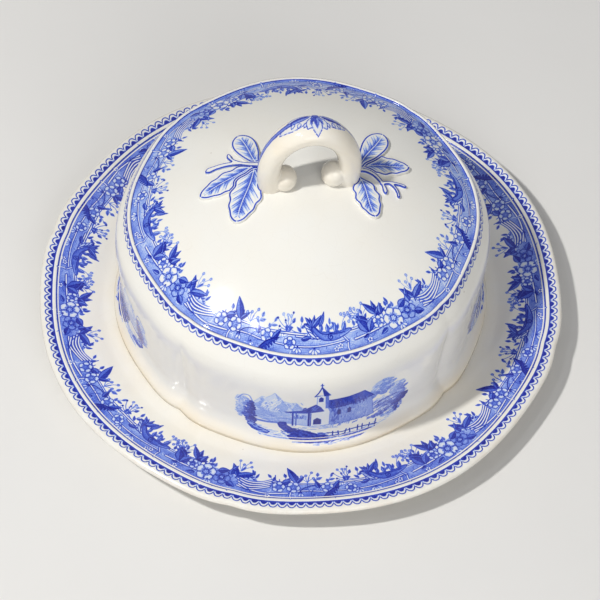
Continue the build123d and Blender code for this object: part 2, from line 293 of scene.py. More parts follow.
class Canvas:
    """Ink is 0 for bare white and 1 for the darkest blue; on says where there is print at all."""

    def __init__(self, left, right, low, high, step, wraps):
        self.step = step
        self.wraps = wraps
        self.columns = int(round((right - left) / step)) + (0 if wraps else 1)
        self.rows = int(round((high - low) / step)) + 1
        self.left, self.low = left, low
        self.ink = np.zeros((self.rows, self.columns))
        self.on = np.zeros((self.rows, self.columns))

    def patch(self, points, reach):
        """Rows, columns and coordinates of the cells around some points."""
        low, high = points.min(0) - reach, points.max(0) + reach
        first = np.floor((low - (self.left, self.low)) / self.step).astype(int)
        last = np.ceil((high - (self.left, self.low)) / self.step).astype(int) + 1
        rows = np.arange(max(first[1], 0), min(last[1], self.rows))
        columns = np.arange(first[0], last[0])
        if not self.wraps:
            columns = columns[(columns >= 0) & (columns < self.columns)]
        u, v = np.meshgrid(self.left + columns * self.step, self.low + rows * self.step)
        return np.ix_(rows, columns % self.columns), u, v

    def lay(self, cells, share, tone):
        """Cover cells with a tone, each by its own share."""
        self.ink[cells] += (tone - self.ink[cells]) * share
        self.on[cells] = np.maximum(self.on[cells], share)

    def distance(self, points, u, v):
        """Distance of each cell from a line through the points."""
        nearest = np.full(u.shape, 1e9)
        for (ax, ay), (bx, by) in zip(points, points[1:]):
            dx, dy = bx - ax, by - ay
            t = np.clip(((u - ax) * dx + (v - ay) * dy) / max(dx * dx + dy * dy, 1e-9), 0, 1)
            nearest = np.minimum(nearest, np.hypot(u - ax - t * dx, v - ay - t * dy))
        return nearest

    def soft(self, depth):
        """Share of a cell that is covered, from its depth inside an edge."""
        return np.clip(depth / self.step + 0.5, 0, 1)

    def stroke(self, points, tone=DARK, width=LINE):
        """Line along a smooth curve through the points."""
        points = bend(points)
        cells, u, v = self.patch(points, width)
        self.lay(cells, self.soft(width / 2 - self.distance(points, u, v)), tone)

    def rule(self, points, white):
        """Moulding: a white line with a heavy dark line on one side and a fine one on the other."""
        self.stroke(points, MIDDLE, white + 2 * LINE)
        below = [(x, y - 0.5 * white - 0.1) for x, y in points]
        self.stroke(below)
        self.stroke(points, BARE, white)

    def blot(self, points, tone, edge=DARK, width=LINE, shade=0.0):
        """Filled outline; shade darkens the fill towards its edge."""
        points = np.array(points, float)
        closed = np.concatenate([points, points[:1]])
        cells, u, v = self.patch(points, width)
        inside = np.zeros(u.shape, bool)
        for (ax, ay), (bx, by) in zip(closed, closed[1:]):
            crosses = (ay > v) != (by > v)
            inside ^= crosses & (u < ax + (bx - ax) * (v - ay) / (by - ay if by != ay else 1e-9))
        depth = np.where(inside, 1, -1) * self.distance(closed, u, v)
        fill = tone + shade * np.exp(-np.maximum(depth, 0) / 0.5)
        self.lay(cells, self.soft(depth), np.clip(fill, 0, 1))
        if width:
            self.lay(cells, self.soft(width / 2 - np.abs(depth)), edge)

    def dot(self, at, radius, tone=DARK, edge=None):
        """Round spot, with an outline when it has an edge tone."""
        at = np.array([at], float)
        cells, u, v = self.patch(at, radius + LINE)
        depth = radius - np.hypot(u - at[0, 0], v - at[0, 1])
        if edge is not None:
            self.lay(cells, self.soft(depth + 0.2), edge)
        self.lay(cells, self.soft(depth), tone)

    # -- motifs ----------------------------------------------------------------------------
    def leaf(self, base, turn, length, width, tone=MIDDLE, curl=0.0, edge=DARK, rib=DARK, full=0.75):
        """Pointed leaf; curl bends its tip sideways, full above 1 makes it rounder at the tip."""
        t = np.linspace(0, 1, 15)
        ahead, aside = heading(turn), heading(turn + 90)
        spine = np.array(base) + np.outer(t * length, ahead) + np.outer(curl * t**2, aside)
        half = 0.5 * width * np.sin(np.pi * t**full)
        outline = np.concatenate([spine + half[:, None] * aside, (spine - half[:, None] * aside)[-2:0:-1]])
        self.blot(outline, tone, edge, 0.24, shade=0.15)
        if tone > PALE:
            lit = spine + 0.86 * half[:, None] * aside
            self.blot(np.concatenate([spine, lit[-2:0:-1]]), 0.62 * tone, edge, 0)
        if rib is not None:
            self.stroke(spine[1:12:5], rib, 0.2)

    def serrated(self, base, turn, length, width, curl):
        """Dark leaf with saw teeth along one side."""
        t = np.linspace(0, 1, 29)
        ahead, aside = heading(turn), heading(turn + 90)
        spine = np.array(base) + np.outer(t * length, ahead) + np.outer(curl * np.sin(np.pi * t), aside)
        teeth = 0.5 * width * np.sin(np.pi * t**0.8) * (1 + 0.35 * np.where(np.arange(29) % 4 < 2, 1, -1))
        outline = np.concatenate([spine, (spine - teeth[:, None] * aside)[-2:0:-1]])
        self.blot(outline, 0.8, DARK, 0.26)
        self.stroke(spine[::7], DARK, 0.4)

    def flower(self, at, size, turn, tone=BARE, edge=MIDDLE + 0.2, shade=0.22, eye=True):
        """Open blossom with five rounded petals, and dots around its middle."""
        for k in range(5):
            angle = turn + 72 * k
            base = np.array(at) + 0.16 * size * heading(angle)
            self.leaf(base, angle, size * 0.86, size * 0.86, tone, edge=edge, rib=None, full=1.5)
            for side in (-13, 0, 13):
                tip = base + 0.36 * size * heading(angle + side)
                self.stroke([base, tip], PALE + shade, 0.16)
        if eye:
            for k in range(5):
                self.dot(np.array(at) + 0.3 * size * heading(turn + 36 + 72 * k), 0.27)
            self.dot(at, 0.2, WASH)

    def bud_fan(self, at, size, turn=-90.0, spread=32.0, count=3):
        """Small white petals hanging from one point."""
        for k in range(count):
            angle = turn + spread * (k - (count - 1) / 2)
            self.leaf(at, angle, size, size * 0.42, BARE, edge=MIDDLE, rib=None, full=1.6)
        self.dot(at, 0.3, DARK)

    def berries(self, root, turn, reach, count, tone=PALE, solid=False, spread=26.0):
        """Spray of berries on fine curved stems."""
        for k in range(count):
            angle = turn + spread * (k - (count - 1) / 2)
            far = reach * (0.78 + 0.22 * math.sin(2.3 * k + reach))
            tip = np.array(root) + far * heading(angle)
            middle = np.array(root) + 0.55 * far * heading(angle + 8)
            self.stroke([root, middle, tip], tone + 0.12, 0.2)
            if solid:
                self.dot(tip, 0.42, DARK)
            else:
                self.dot(tip, 0.42, WASH, edge=tone + 0.2)

    def leaf_pair(self, base, turn, long, short, opening=58.0, tone=MIDDLE + 0.08):
        """A long and a short leaf on one stalk."""
        self.leaf(base, turn, long, long * 0.36, tone, curl=0.08 * long)
        self.leaf(base, turn - opening, short, short * 0.36, tone, curl=-0.1 * short)
        self.stroke([np.array(base) - 1.4 * heading(turn - opening / 2), base], DARK, 0.4)

    def tiny_blossom(self, at):
        """Five white dots round a dark one."""
        for k in range(5):
            self.dot(np.array(at) + 0.62 * heading(90 + 72 * k), 0.36, BARE, edge=MIDDLE)
        self.dot(at, 0.2, DARK)

    def curl(self, at, radius, turns, tone, width, start):
        """Small spiral."""
        t = np.linspace(0, 1, 14)
        points = [np.array(at) + radius * (1 - 0.85 * s) * heading(start + 360 * turns * s) for s in t]
        self.stroke(points, tone, width)


# ---- the border: one engraved length, repeated round the cover and the stand ---------------
COVER_REPEATS, STAND_REPEATS = 4, 6
COVER_STRIPS, STAND_STRIPS = 8, 12              # pieces that the print is cut into round the circle
COVER_START, STAND_START = -152.0, -118.0       # degrees round the circle where the first one starts
STAND_WEIGHT = 1.6                              # the stand's print is this much heavier than the cover's
REPEAT = 2 * math.pi * RIDGE / COVER_REPEATS    # length of one repeat along the cover's ridge
BORDER_LOW, BORDER_HIGH = -4.4, 19.4            # its reach outwards and inwards from the ridge
BORDER_COLUMNS = 600
LOOPS = 30                                      # loops of the lace edge in one repeat


def scallops(sheet):
    """Fine lace edge outside the white ridge: a band, a tooth in each loop, and the looped line."""
    pitch = REPEAT / LOOPS
    sheet.stroke([(0, -0.95), (REPEAT, -0.95)], DARK, 0.5)
    for k in range(LOOPS):
        middle = (k + 0.5) * pitch
        tooth = [(middle - 1.3, -1.0), (middle - 0.95, -1.7), (middle - 0.3, -2.4), (middle + 0.3, -2.4),
                 (middle + 0.9, -1.75), (middle + 1.25, -1.0)]
        sheet.blot(tooth, DARK - 0.1, MIDDLE, 0.2)
        loop = [(middle + 0.5 * pitch * x, -2.2 + y) for x, y in
                ((-1.02, 0.0), (-0.8, -0.35), (-0.62, -0.95), (-0.3, -1.35), (0, -1.45), (0.3, -1.35),
                 (0.62, -0.95), (0.8, -0.35), (1.02, 0.0))]
        sheet.stroke(loop, DARK - 0.08, 0.36)
        sheet.stroke([(k * pitch, -1.2), (k * pitch, -2.1)], PALE, 0.24)


def ground(sheet):
    """Pale blue band with faint ruling, darker towards the ridge."""
    across = sheet.low + np.arange(sheet.rows) * sheet.step
    along = sheet.left + np.arange(sheet.columns) * sheet.step
    u, v = np.meshgrid(along, across)
    turn = 2 * math.pi * u / REPEAT
    edge = 8.3 + 0.7 * np.sin(turn + 0.7) + 0.5 * np.sin(3 * turn + 1.2) + 0.25 * np.sin(7 * turn)
    inside = np.clip((edge - v) / 0.3 + 0.5, 0, 1) * np.clip((v - 0.75) / sheet.step + 0.5, 0, 1)
    cloud = 0.05 * np.sin(4 * turn + 0.9 * v) + 0.04 * np.sin(9 * turn - 1.3 * v)
    ruling = 0.05 * np.sin(2 * math.pi * v / 0.62)
    tone = 0.28 + cloud + ruling + 0.12 * np.exp(-np.abs(v - 1.4) / 1.2) - 0.012 * (v - 5)
    sheet.ink[:] = tone * inside
    sheet.on[:] = inside


def mouldings(sheet):
    """Architectural lines that run along and across the band."""
    sheet.stroke([(0, 0.85), (REPEAT, 0.85)], DARK, 0.34)
    for white, points in (
            (0.5, ((60, 7.6), (70, 7.0), (79, 7.3))), (0.5, ((48, 8.1), (55, 8.4), (64, 8.2))),
            (0.35, ((52, 4.4), (60, 4.0), (68, 4.1), (78.5, 4.9))),
            (0.5, ((82.5, 4.5), (88, 4.9), (96, 5.5))), (0.4, ((79.5, 8.1), (86, 8.3), (96, 9.2))),
            (0.5, ((13.5, 4.2), (19, 3.5), (25, 3.0), (33, 3.7))),
            (0.4, ((34.2, 4.6), (41, 5.0), (47, 4.4))), (0.35, ((27, 9.0), (33, 8.6), (41, 8.4), (48, 8.0))),
            (0.42, ((34.3, 0.9), (34.0, 2.6), (34.5, 4.6))), (0.42, ((79.6, 0.9), (79.3, 2.6), (79.8, 4.6))),
            (0.35, ((79.8, 4.4), (78.4, 6.4), (77.2, 8.0)))):
        sheet.rule(points, white)
    for step in range(3):
        reach = 1.9 * step
        sheet.stroke([(27.5 + reach, 12.3 - reach), (28.2 + reach, 9.6 - 0.6 * reach),
                      (32.0 + 0.4 * reach, 9.3 - 0.6 * reach)], MIDDLE + 0.2, 0.3)
    for u in range(89, 98, 3):
        corners = [(u - 1.3, 9.6), (u + 1.1, 9.9), (u + 1.3, 7.4), (u - 1.0, 7.2)]
        sheet.blot(corners, 0.1, MIDDLE, 0.26, shade=0.12)
        sheet.stroke([corners[0], corners[2]], MIDDLE, 0.2)


def ribbons(sheet):
    """Bundle of curved bands that sweep from the second flower to the inner edge."""
    for k in range(4):
        drop = 1.25 * k
        sheet.rule([(12.5 + 0.5 * k, 8.8 - drop), (17 + 0.3 * k, 7.4 - 0.95 * drop),
                    (22, 7.8 - 0.75 * drop), (26.4 - 0.2 * k, 9.6 - 0.85 * drop)], 0.5)
    sheet.stroke([(13.4, 7.9), (15.2, 5.4), (18.5, 3.6)], MIDDLE, 0.3)


def rocaille(sheet):
    """Heavy wave of scrolled leaf with a spiral in it."""
    wave = bend([(66.5, 11.8), (69.2, 9.4), (72.6, 8.7), (76.0, 8.4), (80.6, 8.9), (82.0, 8.2),
                 (79.0, 6.8), (75.0, 5.7), (71.0, 5.9), (68.4, 7.4), (66.2, 9.8)], 5)
    sheet.blot(wave, PALE + 0.06, DARK - 0.12, 0.28, shade=0.22)
    lobes = (((69.6, 9.2), 66, 2.6), ((72.4, 8.7), 82, 2.9), ((75.4, 8.4), 74, 3.2), ((78.4, 8.5), 52, 3.4))
    for base, lean, long in lobes:
        sheet.leaf(base, lean, long, 0.52 * long, PALE + 0.1, curl=0.5, edge=MIDDLE + 0.1)
    sheet.curl((73.4, 7.0), 1.3, 1.4, DARK, 0.34, 60)
    sheet.stroke([(67.4, 10.6), (70.0, 8.4), (74.0, 7.9), (79.0, 7.9)], DARK, 0.3)
    sheet.stroke([(77.2, 6.8), (79.6, 7.4), (81.4, 8.1)], WASH, 0.3)
    for turn, long in ((150, 3.6), (122, 4.4), (98, 3.4), (66, 4.2), (38, 5.6)):
        sheet.leaf((66.4, 10.8), turn, long, 0.34 * long, MIDDLE, curl=0.7)
    for k in range(3):
        sheet.leaf((63.0 + 0.8 * k, 11.6 - 1.2 * k), -38, 4.6, 1.0, BARE, edge=DARK, rib=None)
    sheet.leaf((69.2, 10.9), 54, 5.6, 1.5, PALE, curl=0.9)


def sprays(sheet):
    """Leaves, berries and stems that reach into the white of the dome."""
    sheet.berries((-12.5, 10.2), 96, 6.4, 5, PALE, spread=27)
    sheet.berries((-13.4, 12.4), 140, 4.2, 3, PALE, spread=30)
    sheet.leaf((-10.2, 9.2), 148, 6.2, 2.0, DARK - 0.15, curl=0.6)
    sheet.leaf_pair((-5.8, 9.8), 84, 5.4, 4.6, 66)
    sheet.leaf_pair((12.4, 8.8), 118, 6.4, 7.4, 92)
    sheet.leaf((9.6, 10.4), 60, 3.6, 1.8, MIDDLE)
    sheet.berries((13.4, 11.4), 76, 6.2, 4, PALE, spread=24)
    sheet.leaf_pair((36.6, 9.0), 116, 8.6, 4.4, 62)
    sheet.berries((40.8, 9.2), 84, 5.4, 4, PALE + 0.05, spread=30)
    sheet.stroke([(41.4, 4.6), (40.8, 8.0), (41.6, 11.8)], PALE + 0.1, 0.26)
    sheet.berries((57.6, 9.3), 136, 7.0, 6, MIDDLE, solid=True, spread=21)
    sheet.stroke([(55.0, 12.0), (58.6, 9.3), (63.4, 8.4)], MIDDLE, 0.26)
    sheet.berries((56.4, 12.2), 100, 3.6, 3, WASH, spread=34)
    sheet.stroke([(87.0, 9.6), (85.0, 13.2), (80.6, 13.0), (78.6, 10.6)], PALE + 0.1, 0.24)
    sheet.berries((82.6, 13.2), -72, 2.6, 3, PALE, spread=40)
    sheet.berries((80.4, 12.8), 84, 2.2, 3, PALE, spread=50)
    sheet.leaf_pair((93.8, 10.2), 124, 6.6, 4.6, 84)
    sheet.leaf((95.8, 9.6), 72, 4.0, 2.2, MIDDLE)


def blossoms(sheet):
    """Flowers and buds laid over the band."""
    sheet.flower((6.8, 6.3), 3.5, 70, tone=WASH, edge=DARK, shade=0.3)
    sheet.leaf((4.4, 8.8), 22, 4.4, 2.6, MIDDLE + 0.1)
    sheet.leaf((9.3, 4.9), -36, 3.8, 2.4, MIDDLE + 0.12, curl=0.5)
    sheet.leaf((9.8, 8.6), 95, 3.0, 2.4, MIDDLE)
    sheet.flower((0.2, 6.2), 4.1, 96)
    sheet.bud_fan((2.0, 3.4), 2.7, -78, 36)
    sheet.leaf((-3.6, 3.9), 200, 3.4, 1.4, MIDDLE)
    sheet.flower((29.4, 6.6), 2.7, 80, shade=0.0, eye=False)
    sheet.leaf((30.8, 8.6), 24, 3.6, 2.6, MIDDLE)
    sheet.flower((35.2, 6.7), 2.8, 60, shade=0.05, eye=False)
    sheet.stroke([(37.2, 3.7), (39.2, 6.2), (42.6, 7.4), (46.4, 7.0)], DARK, 0.36)
    sheet.stroke([(42.4, 1.6), (42.2, 4.0), (43.8, 6.4)], MIDDLE, 0.3)
    sheet.bud_fan((38.2, 4.2), 2.5, -92, 40, 2)
    sheet.bud_fan((43.0, 2.9), 1.9, -60, 40, 2)
    sheet.leaf((45.4, 6.2), 116, 4.0, 1.9, MIDDLE + 0.1, curl=-0.5)
    sheet.flower((48.6, 6.3), 2.6, 90, shade=0.05, eye=False)
    sheet.leaf((50.8, 5.6), 46, 4.8, 1.9, MIDDLE + 0.1, curl=0.6)
    sheet.serrated((46.4, 1.2), 36, 8.6, 3.8, 1.1)
    sheet.flower((57.6, 4.9), 2.4, 90, eye=False)
    sheet.bud_fan((60.6, 3.9), 2.6, -96, 38, 3)
    sheet.bud_fan((66.8, 3.5), 2.8, -90, 34, 4)
    sheet.leaf((62.0, 6.4), 12, 3.8, 1.4, MIDDLE)
    for at in ((75.0, 2.5), (76.6, 3.3), (88.0, 2.6), (25.6, 1.9)):
        sheet.tiny_blossom(at)
    sheet.leaf((88.2, 5.2), 112, 6.2, 3.6, DARK - 0.2, curl=0.6, full=1.0)
    sheet.leaf((88.6, 5.0), 62, 5.2, 3.2, MIDDLE, curl=-0.4, full=1.2)
    sheet.leaf((88.2, 4.6), 200, 2.4, 1.0, DARK)
    sheet.flower((93.4, 7.3), 2.4, 70, eye=False)


def filler(sheet, rng):
    """Small leaves and buds between the larger motifs, and fine veins on the band."""
    for u in np.arange(0, REPEAT, 5.5):
        root = np.array([u + rng.uniform(-1.6, 1.6), 7.4 + rng.uniform(-0.8, 0.8)])
        lean = 90 + rng.uniform(-45, 45)
        long = rng.uniform(3.0, 6.2)
        tip = root + long * heading(lean)
        tone = rng.choice([WASH, PALE, PALE, MIDDLE - 0.1])
        sheet.stroke([root, root + 0.6 * long * heading(lean + 7), tip], tone + 0.1, 0.22)
        for share, side in ((0.35, 52), (0.6, -50), (1.0, 8)):
            at = root + (tip - root) * share
            sheet.leaf(at, lean + side, rng.uniform(1.5, 2.5), rng.uniform(0.8, 1.2), tone, edge=tone + 0.22)
    for _ in range(120):
        root = np.array([rng.uniform(0, REPEAT), rng.uniform(1.6, 7.8)])
        lean = rng.uniform(0, 360)
        sheet.stroke([root, root + 0.9 * heading(lean), root + 1.8 * heading(lean + 40)],
                     rng.choice([PALE + 0.1, MIDDLE, BARE]), 0.2)


def border_sheet():
    """One repeat of the border on a canvas that wraps round."""
    sheet = Canvas(0.0, REPEAT, BORDER_LOW, BORDER_HIGH, REPEAT / BORDER_COLUMNS, wraps=True)
    ground(sheet)
    filler(sheet, np.random.default_rng(5))
    mouldings(sheet)
    ribbons(sheet)
    rocaille(sheet)
    sprays(sheet)
    blossoms(sheet)
    scallops(sheet)
    return sheet


# ---- landscapes on the cover's wall --------------------------------------------------------
VIEW_HALF, VIEW_DROP = 35.0, 37.0        # half width, and depth below the tower's top
VIEW_TOP = 41.4                          # height of the tower's top above the stand's well
VIEW_ASIDE = 0.8                         # from the middle of the panel to the middle of the view
VIEW_STRETCH = 1.13                      # the view is drawn this much taller on the wall
VIEW_DEPTH = 0.8                         # power that deepens its pale blues
VIEW_CELL = 0.18


def foliage(sheet, rng, at, reach, count, tone, size):
    """Crown of a tree from many small dabs, darker below and on the right."""
    for _ in range(count):
        turn, out = rng.uniform(0, 2 * math.pi), math.sqrt(rng.uniform(0, 1))
        x, y = out * math.cos(turn), out * math.sin(turn)
        dab = np.clip(tone + 0.13 * (x - y) + rng.uniform(-0.12, 0.12), 0.08, 0.95)
        reached = size * rng.uniform(0.5, 1.1)
        points = [(at[0] + x * reach[0] + reached * math.cos(a) * (1 + 0.3 * math.sin(3 * a + turn)),
                   at[1] + y * reach[1] + 0.7 * reached * math.sin(a))
                  for a in np.linspace(0, 2 * math.pi, 9)[:-1]]
        sheet.blot(points, dab, min(dab + 0.14, 1), 0.2)


def hatch(sheet, corners, count, tone, width):
    """Ruled strokes from one side of a four-cornered patch to the other."""
    a, b, c, d = np.array(corners, float)
    for t in np.linspace(0.04, 0.96, count):
        sheet.stroke([a + (b - a) * t, d + (c - d) * t], tone, width)


def scatter(sheet, rng, count, low, high, lean, long, tones, width):
    """Short strokes over a patch, all leaning much the same way."""
    for _ in range(count):
        at = rng.uniform(low, high)
        end = at + rng.uniform(*long) * heading(lean + rng.uniform(-12, 12))
        sheet.stroke([at, end], rng.choice(tones), width)


def hills(sheet, rng):
    """Far range in pale blue: slopes in shade beside bare snow, and mist along the foot."""
    sheet.blot([(-25.6, -22.0), (-24.4, -13.4), (-22.6, -10.8), (-21.4, -8.8), (-19.6, -8.8), (-18.0, -7.2),
                (-16.6, -5.3), (-15.0, -7.4), (-13.6, -9.6), (-11.0, -10.4), (-9.0, -10.2), (-7.4, -12.2),
                (-4.6, -14.8), (-4.4, -22.6), (-14.0, -24.0)], 0.09, 0.22, 0.2)
    shades = (
        [(-16.5, -5.5), (-13.4, -9.8), (-11.6, -13.2), (-13.0, -17.0), (-17.4, -16.2), (-15.2, -11.8)],
        [(-21.4, -9.0), (-19.4, -12.4), (-18.6, -16.0), (-22.8, -17.4), (-24.4, -14.8), (-22.0, -12.2)],
        [(-9.0, -10.4), (-6.8, -13.4), (-5.0, -18.6), (-9.8, -18.8), (-10.6, -14.6)])
    for shade in shades:
        sheet.blot(shade, 0.26, 0.26, 0)
    mist = [(-25.4, -22.4), (-24.0, -18.6), (-20.6, -16.6), (-17.0, -17.4), (-12.6, -16.2), (-8.0, -18.0),
            (-4.6, -19.4), (-4.6, -23.4), (-16.0, -24.4)]
    sheet.blot(mist, 0.25, 0.28, 0, shade=-0.08)
    scatter(sheet, rng, 60, (-23.6, -17.0), (-7.0, -9.4), -58, (0.9, 2.4), (0.20, 0.30, 0.38), 0.28)
    scatter(sheet, rng, 26, (-20.6, -15.0), (-13.6, -8.2), -118, (1.2, 2.6), (BARE, 0.04), 0.36)
    scatter(sheet, rng, 70, (-24.0, -23.4), (-7.0, -19.4), 2, (1.4, 3.4), (0.16, 0.30, 0.40), 0.28)
    sheet.stroke([(-24.0, -24.6), (-19.4, -24.4), (-15.0, -23.6)], 0.52, 1.1)


def chapel(sheet, rng):
    """Small chapel with a bell tower, a lean-to porch on posts, and a long roof behind."""
    sheet.blot([(2.0, -24.6), (2.0, -13.6), (18.8, -12.6), (20.4, -24.4)], 0.34, MIDDLE, 0.2)
    scatter(sheet, rng, 90, (3.6, -23.6), (17.6, -14.6), 88, (0.5, 1.6), (0.22, PALE, 0.52), 0.3)
    scatter(sheet, rng, 34, (3.6, -23.8), (6.6, -15.0), 84, (0.8, 1.8), (MIDDLE, 0.58), 0.34)
    roof = [(2.4, -8.8), (9.6, -8.4), (15.6, -7.2), (19.6, -12.0), (11.0, -13.4), (3.8, -14.2), (1.8, -11.6)]
    sheet.blot(roof, MIDDLE + 0.06, DARK, 0.34)
    scatter(sheet, rng, 80, (3.0, -13.2), (17.0, -9.4), -76, (0.7, 1.9), (DARK, DARK - 0.15, 0.56), 0.26)
    for u in (6.6, 10.4):
        sheet.blot([(u - 0.6, -18.6), (u - 0.6, -16.2), (u, -15.4), (u + 0.6, -16.2), (u + 0.6, -18.6)],
                   DARK, DARK, 0.2)
    sheet.blot([(-4.0, -25.0), (-4.0, -16.6), (-1.6, -13.0), (-1.6, -5.4), (2.3, -5.4), (2.6, -14.0),
                (3.2, -16.0), (3.2, -24.4)], 0.03, PALE, 0.22)
    hatch(sheet, [(1.3, -5.6), (2.2, -5.6), (2.7, -13.6), (1.6, -13.6)], 4, MIDDLE, 0.24)
    sheet.blot([(0.0, -0.9), (0.9, -2.2), (3.0, -5.5), (0.9, -5.7)], DARK - 0.06, DARK, 0.3)
    sheet.stroke([(-2.5, -5.9), (-1.2, -3.6), (-0.1, -0.9)], DARK, 0.44)
    sheet.stroke([(-2.5, -5.9), (-0.6, -5.5)], DARK - 0.1, 0.3)
    sheet.stroke([(-0.1, -0.9), (-0.1, 0.8)], DARK, 0.32)
    sheet.stroke([(-0.6, 0.1), (0.4, 0.1)], DARK, 0.26)
    sheet.blot([(-0.9, -9.2), (-0.9, -7.2), (-0.3, -6.4), (0.5, -7.2), (0.5, -9.2)], DARK, DARK, 0.2)
    porch = [(-13.0, -16.3), (-6.8, -14.8), (-2.0, -11.0), (-0.4, -12.6), (1.0, -15.4), (-2.6, -15.9),
             (-8.6, -16.8)]
    sheet.blot(porch, MIDDLE + 0.12, DARK, 0.26)
    scatter(sheet, rng, 30, (-6.6, -15.6), (-1.4, -13.2), 42, (0.8, 1.8), (DARK, 0.5), 0.26)
    sheet.blot([(-10.2, -16.6), (-10.2, -23.6), (-4.2, -24.6), (-4.2, -16.4)], 0.14, PALE, 0.18, shade=0.1)
    scatter(sheet, rng, 26, (-9.6, -19.4), (-4.8, -17.2), -88, (0.8, 2.0), (0.3, MIDDLE - 0.1), 0.3)
    for u, wide in ((-10.1, 0.6), (-8.9, 0.3), (-4.3, 0.7), (-3.6, 0.3)):
        sheet.stroke([(u, -24.4), (u, -16.6)], DARK - 0.08, wide)
    sheet.blot([(-2.5, -23.6), (-2.5, -20.8), (-1.3, -19.6), (0.1, -20.8), (0.1, -23.6)], DARK, DARK, 0.24)
    scatter(sheet, rng, 40, (-11.0, -27.0), (5.0, -24.6), 4, (0.8, 2.2), (0.12, 0.22, 0.34), 0.26)
    scatter(sheet, rng, 46, (3.6, -26.6), (17.0, -23.8), 70, (0.5, 1.3), (PALE, 0.3, 0.56), 0.34)


def left_tree(sheet, rng):
    """Tall dark tree with a pale bough that arches over its left side."""
    foliage(sheet, rng, (-28.6, -14.4), (2.4, 2.6), 46, 0.17, 0.8)
    sheet.stroke([(-30.6, -14.2), (-28.6, -11.0), (-26.2, -10.6), (-25.0, -13.4)], 0.36, 0.5)
    foliage(sheet, rng, (-29.6, -20.4), (1.6, 4.6), 60, 0.20, 0.8)
    for share in np.linspace(0, 1, 11):
        middle = -25.4 - 0.8 * math.sin(math.pi * share)
        wide = 0.6 + 1.9 * math.sin(0.84 * math.pi * share)
        foliage(sheet, rng, (middle, -14.6 - 13.4 * share), (wide, 0.9), 22, 0.74, 0.66)
    bank = [(-27.0, -28.6), (-23.6, -28.4), (-20.4, -29.2), (-18.4, -30.0), (-19.4, -30.9), (-22.6, -30.8),
            (-25.2, -30.2)]
    sheet.blot(bank, 0.66, DARK, 0.24)
    scatter(sheet, rng, 34, (-23.0, -32.0), (-15.6, -30.6), -8, (0.8, 2.0), (0.3, PALE, 0.2), 0.28)


def right_trees(sheet, rng):
    """Pale crowns over the roof's far end, and dark boughs sweeping up to a bush on the right."""
    crowns = (((23.4, -9.4), (4.8, 4.4), 100, 0.25, 1.1), ((18.4, -12.4), (2.8, 2.2), 40, 0.28, 0.9),
              ((30.0, -14.6), (3.4, 4.4), 80, 0.24, 1.0), ((25.6, -19.0), (7.6, 3.6), 110, 0.20, 0.9),
              ((27.0, -26.0), (5.6, 3.4), 90, 0.22, 0.8))
    for at, reach, count, tone, size in crowns:
        foliage(sheet, rng, at, reach, count, tone, size)
    boughs = (((15.0, -21.6), (22.0, -18.4), (29.6, -17.6)), ((16.4, -23.4), (23.6, -20.8), (31.0, -19.6)),
              ((17.6, -25.0), (24.4, -22.4), (31.6, -21.6)), ((18.0, -27.0), (25.0, -25.4), (31.0, -24.4)))
    for root, bow, tip in boughs:
        sheet.stroke([root, bow, tip], DARK - 0.2, 0.42)
        scatter(sheet, rng, 12, np.array(bow) - (3.4, 1.0), np.array(bow) + (3.4, 1.0), 24, (0.8, 1.8),
                (MIDDLE, 0.5, DARK - 0.1), 0.3)
    bushes = (((32.4, -21.0), (2.0, 1.9), 50, 0.76, 0.8), ((30.4, -23.0), (2.6, 1.3), 46, 0.70, 0.7),
              ((30.0, -26.6), (0.9, 2.2), 26, 0.74, 0.6), ((22.0, -26.4), (4.0, 1.0), 40, 0.50, 0.6))
    for at, reach, count, tone, size in bushes:
        foliage(sheet, rng, at, reach, count, tone, size)


def waterside(sheet, rng):
    """Dark near bank with rushes, rough ground fading out below it, and a rustic fence."""
    for _ in range(190):
        u = rng.uniform(-27, 29)
        v = -34.2 + 0.0065 * (u - 3) ** 2 + rng.uniform(0, 2.4)
        sheet.stroke([(u, v), (u + rng.uniform(0.6, 2.0), v + rng.uniform(-0.2, 0.3))],
                     rng.uniform(0.14, 0.5) * (1 - 0.5 * abs(u) / 30), 0.26)
    bank = [(-15.6, -24.3), (-14.6, -23.1), (-12.5, -22.9), (-12.3, -24.6), (-10.0, -26.6), (-7.2, -27.6),
            (-3.6, -28.5), (1.0, -30.4), (3.4, -31.6), (1.0, -32.8), (-3.6, -33.2), (-7.4, -32.8),
            (-10.8, -32.0), (-11.9, -30.6), (-10.2, -29.6), (-13.2, -28.2), (-14.9, -26.4)]
    sheet.blot(bank, 0.80, DARK, 0.3, shade=0.12)
    for _ in range(110):
        u = rng.uniform(-14.4, 2.0)
        v = -28.4 - 0.28 * (u + 8) + rng.uniform(-3.0, 1.6)
        sheet.stroke([(u, v), (u + rng.uniform(0.6, 2.0), v + rng.uniform(-0.7, 0.1))],
                     rng.choice([0.62, DARK, DARK, 0.7]), 0.28)
    for k in range(8):
        u = 4.6 + 2.3 * k + rng.uniform(-0.3, 0.3)
        foot = -31.8 + rng.uniform(-0.3, 0.3)
        sheet.stroke([(u, foot), (u + rng.uniform(-0.5, 0.9), foot + rng.uniform(2.2, 3.2))], DARK, 0.42)
    sheet.stroke([(2.6, -29.4), (8.0, -29.9), (14.0, -29.6), (21.8, -30.8)], DARK, 0.36)
    sheet.stroke([(3.2, -31.4), (9.0, -31.2), (15.0, -31.4), (19.6, -31.8)], DARK, 0.32)
    scatter(sheet, rng, 60, (1.0, -33.6), (17.0, -31.0), 8, (1.0, 2.6), (DARK, MIDDLE, PALE), 0.26)


